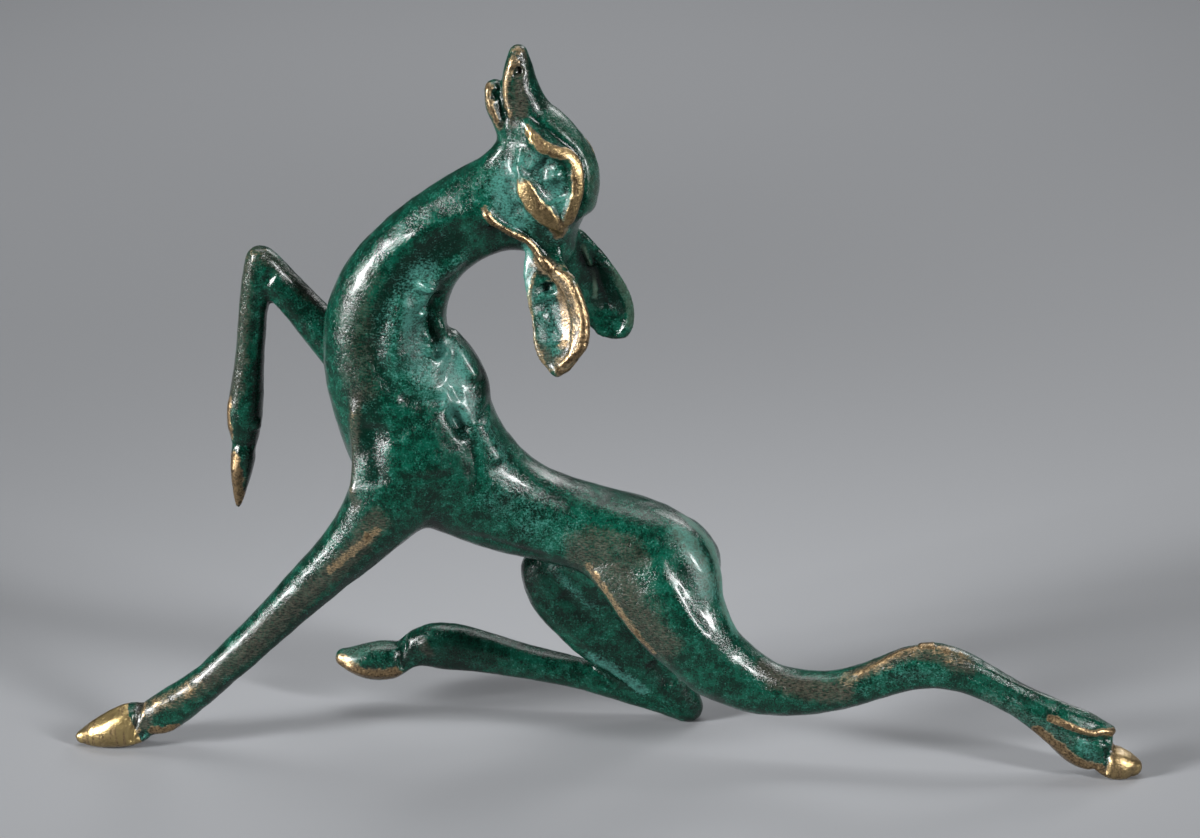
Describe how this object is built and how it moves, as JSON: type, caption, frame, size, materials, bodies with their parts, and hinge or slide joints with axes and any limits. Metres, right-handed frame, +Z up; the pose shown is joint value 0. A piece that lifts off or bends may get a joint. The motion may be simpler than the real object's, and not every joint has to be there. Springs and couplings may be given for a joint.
{
  "type": "bronze fawn figurine",
  "caption": "Slender patinated bronze fawn figurine, cast in one, with its head thrown back, a foreleg raised and a hind leg stretched out behind.",
  "frame": {"origin": "on the ground, under the middle of the whole figure", "axes": "+Z up, +X from the head end towards the stretched hind leg, the animal's left side towards -Y"},
  "size_m": [0.1235, 0.0257, 0.0833],
  "materials": {
    "patinated_bronze": "glossy dark green patina on cast bronze, rubbed grey-brown on the broad forms and down to bright bronze on the edges and hooves"
  },
  "bodies": {
    "root": {"fawn": "patinated_bronze"}
  },
  "joints": []
}
